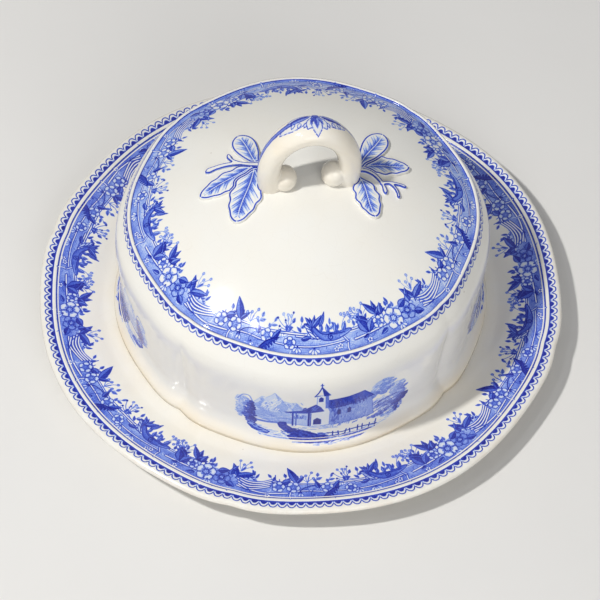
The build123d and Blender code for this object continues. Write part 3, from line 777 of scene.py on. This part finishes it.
def landscape_sheet(seed, side):
    """Small view that fades out at its edges; side -1 turns it round."""
    rng = np.random.default_rng(seed)
    sheet = Canvas(-VIEW_HALF, VIEW_HALF, -VIEW_DROP, 1.4, VIEW_CELL, wraps=False)
    hills(sheet, rng)
    right_trees(sheet, rng)
    chapel(sheet, rng)
    left_tree(sheet, rng)
    waterside(sheet, rng)
    if side < 0:
        sheet.ink, sheet.on = sheet.ink[:, ::-1], sheet.on[:, ::-1]
    return sheet


# ---- glaze and print ------------------------------------------------------------------------
class Nodes:
    """Thin helper for building a material's node tree; place is the point in the object's own frame."""

    def __init__(self, name):
        self.material = bpy.data.materials.new(name)
        self.material.use_nodes = True
        self.tree = self.material.node_tree
        self.shader = self.tree.nodes["Principled BSDF"]
        coordinates = self.tree.nodes.new("ShaderNodeTexCoord")
        self.place = coordinates.outputs["Object"]

    def put(self, value, socket):
        """Link another node's output to a socket, or set it to a fixed value."""
        if isinstance(value, bpy.types.NodeSocket):
            self.tree.links.new(value, socket)
        else:
            socket.default_value = value

    def add(self, kind, output=0, **inputs):
        """Node of a kind, with its settings and sockets given by name; i0, i1 are sockets by number."""
        node = self.tree.nodes.new("ShaderNode" + kind)
        for key, value in inputs.items():
            if hasattr(node, key):
                setattr(node, key, value)
                continue
            socket = node.inputs[int(key[1:])] if key[0] == "i" and key[1:].isdigit() else node.inputs[key]
            self.put(value, socket)
        return node.outputs[output]

    def math(self, operation, a, b=0.0, clamp=False):
        """Arithmetic on two values."""
        return self.add("Math", operation=operation, use_clamp=clamp, i0=a, i1=b)

    def spread(self, value, low, high, to_low, to_high):
        """Value carried from one range to another, and held at its ends."""
        return self.add("MapRange", Value=value, **{"From Min": low, "From Max": high,
                                                    "To Min": to_low, "To Max": to_high})

    def noise(self, size, detail=3.0, rough=0.55):
        """Noise from 0 to 1 whose blots are about size metres across."""
        return self.add("TexNoise", Vector=self.place, Scale=1 / size, Detail=detail, Roughness=rough)

    def mix(self, share, a, b):
        """Colour between a and b."""
        node = self.tree.nodes.new("ShaderNodeMix")
        node.data_type = "RGBA"
        for index, value in ((0, share), (6, a), (7, b)):
            self.put(value, node.inputs[index])
        return node.outputs[2]

    def attribute(self, name):
        """Number stored on the mesh, 0 where there is none."""
        return self.add("Attribute", output=2, attribute_name=name)

    def set(self, socket, value):
        """Set one of the shader's own sockets."""
        self.put(value, self.shader.inputs[socket])


# Colours of the glaze over more and more ink, from bare ware to the darkest cobalt.
INK_STEPS = ((0.00, (0.822, 0.812, 0.768)), (0.12, (0.600, 0.680, 0.830)), (0.30, (0.300, 0.420, 0.800)),
             (0.50, (0.120, 0.205, 0.680)), (0.70, (0.042, 0.088, 0.540)), (0.88, (0.015, 0.030, 0.370)),
             (1.00, (0.008, 0.013, 0.230)))
CREAM, BISCUIT = (0.84, 0.71, 0.50, 1), (0.52, 0.36, 0.22, 1)
CRACK, IRON = (0.50, 0.41, 0.30, 1), (0.20, 0.12, 0.06, 1)
STAIN_LOW, STAIN_HIGH = (SEAT + 1) * MM, (SEAT + 7) * MM     # the cream stain fades between these heights


def ink_colour(n, tone):
    """Cobalt of a tone, a little uneven where there is ink."""
    grain = n.spread(n.noise(0.00045, 2.0), 0.3, 0.7, -0.10, 0.10)
    cloud = n.spread(n.noise(0.009, 3.0), 0.3, 0.7, -0.06, 0.06)
    uneven = n.math("MULTIPLY", n.math("ADD", grain, cloud), n.spread(tone, 0.0, 0.3, 0.0, 1.0))
    ramp = n.tree.nodes.new("ShaderNodeValToRGB")
    ramp.color_ramp.interpolation = "LINEAR"
    points = ramp.color_ramp.elements
    while len(points) < len(INK_STEPS):
        points.new(0.5)
    for point, (position, colour) in zip(points, INK_STEPS):
        point.position = position
        point.color = (*colour, 1)
    n.put(n.math("ADD", tone, uneven, clamp=True), ramp.inputs[0])
    return ramp.outputs[0]


def creamed(n, body, tone, warmth, age):
    """Glaze yellowed in patches all over by age, and near the foot by warmth, where it is bare."""
    height = n.add("SeparateXYZ", output=2, Vector=n.place)
    low = n.spread(height, STAIN_LOW, STAIN_HIGH, 1.0, 0.0)
    drift = n.spread(n.noise(0.03 / (1 + 2 * age), 4.0), 0.35, 0.75, age, 0.5 + age)
    stain = n.math("MULTIPLY", low, n.spread(n.noise(0.016, 4.0), 0.30, 0.62, 0.35 * warmth, warmth))
    bare = n.spread(tone, 0.0, 0.6, 1.0, 0.12)
    patches = n.math("ADD", n.math("MULTIPLY", drift, 0.26 + age), stain, clamp=True)
    return n.mix(n.math("MULTIPLY", patches, bare), body, CREAM)


def crazed(n, body, seed):
    """Fine crazing and a few iron specks."""
    wander = n.add("TexNoise", output=1, Vector=n.place, Scale=90.0)
    warp = n.add("VectorMath", operation="ADD", i0=n.place,
                 i1=n.add("VectorMath", operation="SCALE", i0=wander, Scale=0.004))
    cracks = n.add("TexVoronoi", feature="DISTANCE_TO_EDGE", Vector=warp, Scale=150.0 + 10 * seed)
    body = n.mix(n.spread(cracks, 0.0, 0.014, 0.06, 0.0), body, CRACK)
    speck = n.add("TexVoronoi", feature="F1", Vector=n.place, Scale=38.0 + seed)
    return n.mix(n.spread(speck, 0.0, 0.016, 0.7, 0.0), body, IRON)


def glaze(name, seed, warmth=0.0, age=0.0):
    """Old lead-glazed earthenware: a warm white under clear gloss, with cobalt wherever there is ink."""
    n = Nodes(name)
    tone = n.attribute("ink")
    body = creamed(n, ink_colour(n, tone), tone, warmth, age)

    # Worn edges show the biscuit through the glaze.
    worn = n.spread(n.noise(0.006, 5.0, 0.7), 0.42, 0.70, 0.0, 1.0)
    wear = n.math("MULTIPLY", n.attribute("edge"), worn, clamp=True)
    body = n.mix(n.math("MULTIPLY", wear, 0.32), body, BISCUIT)

    ripple = n.add("Bump", Strength=0.06, Distance=0.0006, Height=n.noise(0.006, 2.0))
    pits = n.add("Bump", Strength=0.12, Distance=0.00012, Height=n.noise(0.0007, 2.0), Normal=ripple)
    n.set("Base Color", crazed(n, body, seed))
    n.set("Roughness", n.math("ADD", n.spread(n.noise(0.02, 4.0), 0.3, 0.7, 0.07, 0.15),
                              n.math("MULTIPLY", wear, 0.35)))
    n.set("Normal", pits)
    n.set("IOR", 1.52)
    n.set("Specular IOR Level", 0.28)
    n.set("Coat Weight", 0.08)
    n.set("Coat Roughness", 0.05)
    return n.material


# ---- pieces ----------------------------------------------------------------------------------
def vertex_rows(thing, what):
    """Coordinates or normals of a mesh's points, one row each."""
    flat = np.zeros(len(thing.data.vertices) * 3, np.float32)
    thing.data.vertices.foreach_get(what, flat)
    return flat.reshape(-1, 3).astype(float)


def ware_body(node, ware, columns, spacing, material, worn):
    """Smooth ware in place of a CAD node; worn lists the radius, height and width of its worn edges."""
    body = turned_body(node + "_ware", ware, spacing, columns, material)
    points = vertex_rows(body, "co") / MM
    reach = np.hypot(points[:, 0], points[:, 1])
    amount = np.zeros(len(points))
    for radius, height, width in worn:
        away = np.hypot(reach - radius, points[:, 2] - height)
        amount = np.maximum(amount, np.exp(-(away / width) ** 2))
    store(body.data, "edge", amount)
    return body


def print_strips(body, ware, repeats, strips, start, material, weight=1.0):
    """The border laid on a ware, in equal strips round the circle; weight deepens the blue."""
    sheet = border_sheet()
    columns = sheet.columns * repeats
    per_strip = columns // strips
    s = -(sheet.low + np.arange(sheet.rows) * sheet.step)
    for k in range(strips):
        index = np.arange(k * per_strip, (k + 1) * per_strip + 1)
        angle = start + index * 360.0 / columns
        column = index % sheet.columns
        ink = sheet.ink[:, column] ** (1 / weight)
        lay_print(f"{body}_border_{k + 1}", ware, angle, s, ink, sheet.on[:, column], material, body)


def lay_print(name, ware, angle, s, ink, on, material, body):
    """Grid of faces just above the ware wherever there is print."""
    grid_angle, grid_s = np.meshgrid(angle, s)
    points = ware.place(grid_angle, grid_s, LIFT).reshape(-1, 3)
    faces = grid_faces(len(s), len(angle), False)
    inked = on.ravel()[faces].max(1) > 0.02
    faces = faces[inked]
    used = np.unique(faces)
    renumber = np.zeros(len(points), int)
    renumber[used] = np.arange(len(used))
    piece = new_mesh(name, points[used], [renumber[faces]], material, ink.ravel()[used])
    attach(piece, body)


def soft_union(nodes, name, voxel, sink, smooth, material):
    """One rounded mesh from CAD nodes, with copies let into the dome by sink so that no gap shows."""
    copies = []
    for node in nodes:
        for drop in (0.0, sink):
            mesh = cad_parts[node].data.copy()
            mesh.transform(Matrix.Translation((0, 0, -drop * MM)))
            mesh.materials.clear()
            copies.append(linked(name, mesh))
    with bpy.context.temp_override(active_object=copies[0], selected_editable_objects=copies,
                                   selected_objects=copies):
        bpy.ops.object.join()
    piece = copies[0]
    remesh = piece.modifiers.new("remesh", "REMESH")
    remesh.mode = "VOXEL"
    remesh.voxel_size = voxel * MM
    relax = piece.modifiers.new("relax", "SMOOTH")
    relax.factor = 0.5
    relax.iterations = smooth
    shaped = bpy.data.meshes.new_from_object(piece.evaluated_get(bpy.context.evaluated_depsgraph_get()))
    bpy.data.objects.remove(piece)
    shaped.name = name
    shaped.shade_smooth()
    shaped.materials.clear()
    shaped.materials.append(material)
    return linked(name, shaped)


def write_back(thing, points, ink):
    """Move a mesh's points, in millimetres, and store their ink."""
    thing.data.vertices.foreach_set("co", (points * MM).astype(np.float32).ravel())
    store(thing.data, "ink", np.clip(ink, 0, 1))
    thing.data.update()


def dome_height(points):
    """How far points stand above the dome's sphere."""
    return np.linalg.norm(points - np.array([0, 0, DOME_CENTRE]), axis=1) - DOME_SPHERE


def step(value, low, high):
    """Smooth rise from 0 at low to 1 at high."""
    t = np.clip((value - low) / (high - low), 0, 1)
    return t * t * (3 - 2 * t)


def line(distance, width):
    """Ink of a drawn line of that width, from the distance to its middle."""
    return 1 - step(np.abs(distance), 0.35 * width, 0.75 * width)


SIDE_HEIGHT = 0.35                       # where a relief's side wall is met, above the dome


def from_edge(points, height):
    """Distance in plan of each point from the nearest side wall of a low relief."""
    wall = points[np.abs(height - SIDE_HEIGHT) < 0.12]
    tree = KDTree(len(wall))
    for index, point in enumerate(wall):
        tree.insert((point[0], point[1], 0), index)
    tree.balance()
    return np.array([tree.find((x, y, 0))[2] for x, y in points[:, :2]])


SPRIG_VOXEL, SPRIG_SINK, SPRIG_SMOOTH = 0.16, 0.5, 5
VEIN_GAP = 3.4                           # between the veins of a leaf
VEIN_LEAN = 1.1                          # how far a vein runs ahead for each millimetre aside


def relief_leaf(node, material):
    """Moulded leaf: rounded edges, sunk midrib and veins, picked out in blue."""
    leaf = soft_union([node], node + "_relief", SPRIG_VOXEL, SPRIG_SINK, SPRIG_SMOOTH, material)
    points = vertex_rows(leaf, "co") / MM
    flat = points[:, :2]
    centre = flat.mean(0)
    spread = np.linalg.svd(flat - centre, full_matrices=False)[2]
    ahead = spread[0] if spread[0] @ centre > 0 else -spread[0]
    aside = np.array([-ahead[1], ahead[0]])
    along, across = (flat - centre) @ ahead, (flat - centre) @ aside
    start, end = along.min(), along.max()
    share = (along - start) / (end - start)
    middle = 0.35 * np.sin(2 * math.pi * share)
    from_rib = np.abs(across - middle)
    half = np.abs(across).max()
    height = dome_height(points)
    top = step(height, 0.45, 0.85)
    rib = line(from_rib, 0.5 - 0.2 * share) * step(share, 0.0, 0.05) * (1 - step(share, 0.90, 0.97))
    edge = from_edge(points, height)
    lagging = along - VEIN_LEAN * from_rib
    slant = np.mod(lagging, VEIN_GAP) / VEIN_GAP
    veins = line((slant - 0.5) * VEIN_GAP, 0.34) * step(from_rib, 0.1, 0.4) * step(edge, 0.9, 1.8)
    reach = (0.26 * half + 0.4) * (0.45 + 0.95 * slant)
    feather = np.exp(-(from_rib / reach) ** 2) * (1 - step(share, 0.80, 0.93)) * step(edge, 0.7, 1.5)
    grain = 0.5 + 0.5 * np.sin(7.0 * lagging + 1.3 * np.sin(3 * across))
    rim = line(edge - 0.42, 0.46) * step(height, 0.5, 0.8)
    ink = np.maximum(np.maximum(rim * 0.84, feather * (0.5 + 0.36 * grain)), 0.62 * veins)
    ink = np.maximum(ink * (1 - 0.95 * line(from_rib, 0.30)), 0.0) * step(height, 0.2, 0.5)
    lower = -0.22 * rib - 0.14 * veins + 0.16 * np.cos(np.clip(from_rib / half, 0, 1) * math.pi / 2)
    points[:, 2] += lower * top
    write_back(leaf, points, ink)
    return leaf


def relief_twig(node, material):
    """Moulded stem with blue along both sides."""
    twig = soft_union([node], node + "_relief", SPRIG_VOXEL, SPRIG_SINK, SPRIG_SMOOTH, material)
    points = vertex_rows(twig, "co") / MM
    height = dome_height(points)
    edge = from_edge(points, height)
    write_back(twig, points, line(edge - 0.2, 0.4) * 0.85 * step(height, 0.3, 0.6))
    return twig


def handle_sheet():
    """Palmette on the crest of the handle, leaves along its arch, a band down its left side, and painted
    shade: a dark line down its right side.
    """
    sheet = Canvas(-40, 40, -8, 8, 0.12, wraps=False)
    crest = 2.0
    for side, long in ((-1, 14.0), (1, 11.0)):
        root = np.array([crest + 1.2 * side, 3.2])
        sheet.leaf(root, -90 + side * 73, long, 5.6, 0.04, edge=DARK, rib=None, full=0.9)
        sheet.leaf(root + (side * 1.0, 0), -90 + side * 78, 0.74 * long, 2.3, MIDDLE + 0.14, rib=None)
        for k in range(3):
            tooth = root + (side * (2.4 + 2.3 * k), -3.1 + 0.5 * k)
            sheet.leaf(tooth, -90 + side * 34, 2.2, 1.3, 0.03, edge=DARK, rib=None)
    for turn, long, wide in ((-124, 6.6, 3.4), (-56, 6.6, 3.4), (-90, 8.0, 3.8)):
        sheet.leaf((crest, 3.0), turn, long, wide, 0.04, edge=DARK, rib=None, full=1.1)
        sheet.leaf((crest, 3.0), turn, 0.66 * long, 0.5 * wide, MIDDLE, edge=MIDDLE, rib=DARK)
    sheet.dot((crest, 3.6), 1.0, MIDDLE, edge=DARK)
    sheet.stroke([(-8, 1.6), (-14, 0.8), (-22, 0.5), (-31, 0.2)], DARK, 1.9)
    sheet.stroke([(-8, 1.6), (-14, 0.8), (-22, 0.5), (-30, 0.2)], MIDDLE - 0.14, 1.2)
    # Painted shade: a dark line along the right outer edge of the arch, where the handle lies in shadow.
    sheet.stroke([(8, 1.8), (14, 1.2), (22, 0.8), (29, 0.8)], DARK, 0.6)
    return sheet


HANDLE_TURN = math.radians(3.0)          # how far the handle is turned on the dome
HANDLE_SPRING = 86.0                     # height where its arch begins
HANDLE_RADIUS = 20.5                     # mean radius of the arch, along which the print is measured
HANDLE_OVAL = 1.25                       # the arch is this much taller than a half circle


def handle(material):
    """Loop with its scrolled ends as one smooth casting, printed on its outer side, with a line of painted
    shade down its right side.
    """
    nodes = ["handle_loop", "handle_scroll_left", "handle_scroll_right"]
    loop = soft_union(nodes, "handle_casting", voxel=0.28, sink=1.2, smooth=6, material=material)
    points, normals = vertex_rows(loop, "co") / MM, vertex_rows(loop, "normal")
    centre = np.array((HANDLE_LOW + HANDLE_HIGH) / 2)[:2]
    cosine, sine = math.cos(HANDLE_TURN), math.sin(HANDLE_TURN)
    local = (points[:, :2] - centre) @ np.array([[cosine, -sine], [sine, cosine]])
    swing = np.arctan2((points[:, 2] - HANDLE_SPRING) / HANDLE_OVAL, local[:, 0])
    around = (math.pi / 2 - swing) * HANDLE_RADIUS
    outward = normals[:, 2] * np.sin(swing) + normals[:, 0] * np.cos(swing)
    sheet = handle_sheet()
    column = np.clip((around - sheet.left) / sheet.step, 0, sheet.columns - 1).astype(int)
    row = np.clip((local[:, 1] - sheet.low) / sheet.step, 0, sheet.rows - 1).astype(int)
    write_back(loop, points, sheet.ink[row, column] * step(outward, 0.1, 0.4))
    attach(loop, "cover")
    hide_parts(*nodes)


def cover_spacing(s):
    """Step along the cover's profile: fine at the ridge, wider on the wall, widest inside."""
    if abs(s) < 2.6:
        return 0.22
    return 1.5 if s < 25 else 1.3 if s < 52 else 2.6


def build_cover():
    """Cover with its border and a view on each of its four panels."""
    ware = cover_profile()
    material = glaze("cover_glaze", 1, 0.75)
    body = ware_body("cover", ware, COVER_COLUMNS, cover_spacing, material,
                     [(RIDGE + 0.9, RIDGE_HEIGHT - 0.78, 0.7), (FOOT, SEAT + 1.0, 1.2)])
    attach(body, "cover")
    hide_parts("cover")
    print_strips("cover", ware, COVER_REPEATS, COVER_STRIPS, COVER_START, material)
    outer = (ware.along > 2) & (ware.along < 45)
    tower_top = np.interp(-(SEAT + VIEW_TOP), -ware.rows[outer, 1], ware.along[outer])
    for k, name in enumerate(("front", "right", "back", "left")):
        sheet = landscape_sheet(11 + k, 1 if k % 2 == 0 else -1)
        aside = VIEW_ASIDE + sheet.left + np.arange(sheet.columns) * sheet.step
        s = tower_top - VIEW_STRETCH * (sheet.low + np.arange(sheet.rows) * sheet.step)
        lay_print("landscape_" + name, ware, -90 + 90 * k + np.degrees(aside / WALL), s,
                  sheet.ink ** VIEW_DEPTH, sheet.on, material, "cover")


def stand_spacing(s):
    """Step along the stand's profile: fine at its ridge, wide in the well and underneath."""
    if abs(s) < 1.5:
        return 0.25
    return 2.5 if s < -22 or s > 12 else 1.0


def build_stand():
    """Stand with its border, in deeper blue than the cover's."""
    ware = stand_profile()
    material = glaze("stand_glaze", 2, 0.16)
    body = ware_body("stand", ware, STAND_COLUMNS, stand_spacing, material,
                     [(RIM - 0.4, SEAT + 4.6, 1.3), (FOOT_RING, 0, 1.5)])
    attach(body, "stand")
    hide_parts("stand")
    print_strips("stand", ware, STAND_REPEATS, STAND_STRIPS, STAND_START, material,
                 STAND_WEIGHT)


def build_sprigs():
    """Leaves and twigs on both sides of the handle."""
    material = glaze("sprig_glaze", 3)
    for node in sorted(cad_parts):
        if node.startswith("leaf"):
            piece = relief_leaf(node, material)
        elif node.startswith("twig"):
            piece = relief_twig(node, material)
        else:
            continue
        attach(piece, "cover")
        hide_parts(node)


# ---- the set ----------------------------------------------------------------------------------
def floor():
    """Plain pale floor."""
    size = 3.0
    mesh = bpy.data.meshes.new("floor")
    corners = [(-size, -size, 0), (size, -size, 0), (size, size, 0), (-size, size, 0)]
    mesh.from_pydata(corners, [], [(0, 1, 2, 3)])
    n = Nodes("floor_paper")
    n.set("Base Color", n.mix(n.noise(0.05), (0.74, 0.73, 0.71, 1), (0.77, 0.76, 0.74, 1)))
    n.set("Roughness", 0.8)
    mesh.materials.append(n.material)
    plane = linked("floor", mesh)


DISH = (0, 0, 0.03)                      # the lamps point at this


def lamp(name, place, size, power, colour=(1, 1, 1)):
    """Round soft lamp that points at the dish."""
    light = bpy.data.lights.new(name, "AREA")
    light.shape = "DISK"
    light.size = size
    light.energy = power
    light.color = colour
    thing = linked(name, light)
    thing.location = place
    thing.rotation_euler = (Vector(DISH) - Vector(place)).to_track_quat("-Z", "Y").to_euler()


def studio():
    """Key from the left, a small glint, a wide fill from the front, and a weak lamp above."""
    floor()
    lamp("key", (-0.66, -0.20, 1.18), 0.08, 11.8, (1, 0.985, 0.955))
    lamp("glint", (-0.47, -0.43, 1.21), 0.03, 0.7)
    lamp("fill", (0.30, -1.40, 0.7), 1.2, 10.2)
    lamp("top", (0.1, 0.5, 1.4), 1.0, 0.9)
    world = bpy.data.worlds.new("studio")
    world.use_nodes = True
    world.node_tree.nodes["Background"].inputs[0].default_value = (0.93, 0.95, 1.0, 1)
    world.node_tree.nodes["Background"].inputs[1].default_value = 0.22
    bpy.context.scene.world = world
    bpy.context.scene.view_settings.view_transform = "Standard"


# ---- camera, as fitted to the rim, the ridge and the foot --------------------------------------
SENSOR, FOCAL = 36, 139.92               # millimetres
APART, AIM_HEIGHT = 891 * MM, 13 * MM    # distance from the aim, a point on the dish's axis, and its height
TILT, ROLL = math.radians(54.56), math.radians(2.13)
PAN, NOD = math.radians(-0.0214), math.radians(-0.3165)    # small turns of the lens off the aim
TURN = math.radians(-6.75)               # from the middle of the front panel
ASIDE = (-0.5 * MM, -0.3 * MM, 0)        # halves the offset of the cover, which is central here


def swung(a, b, angle):
    """Two axes turned in their own plane by an angle, from a towards b."""
    return a * math.cos(angle) + b * math.sin(angle), b * math.cos(angle) - a * math.sin(angle)


def camera():
    """Long lens, about 55 degrees above the table."""
    forward = Vector((0, math.cos(TILT), -math.sin(TILT)))
    right = Vector((1, 0, 0))
    up = right.cross(forward)
    right, forward = swung(right, forward, PAN)
    forward, up = swung(forward, up, NOD)
    right, up = swung(right, up, ROLL)
    place = Vector((0, -APART * math.cos(TILT), APART * math.sin(TILT) + AIM_HEIGHT))
    data = bpy.data.cameras.new("camera")
    data.sensor_width = SENSOR
    data.lens = FOCAL
    thing = linked("camera", data)
    axes = Matrix((right, up, -forward)).transposed().to_4x4()
    moved = Matrix.Translation(ASIDE) @ Matrix.Translation(place) @ axes
    thing.matrix_world = Matrix.Rotation(TURN, 4, "Z") @ moved
    bpy.context.scene.camera = thing


build_cover()
build_stand()
handle(glaze("handle_glaze", 4, age=0.35))
build_sprigs()
studio()
camera()
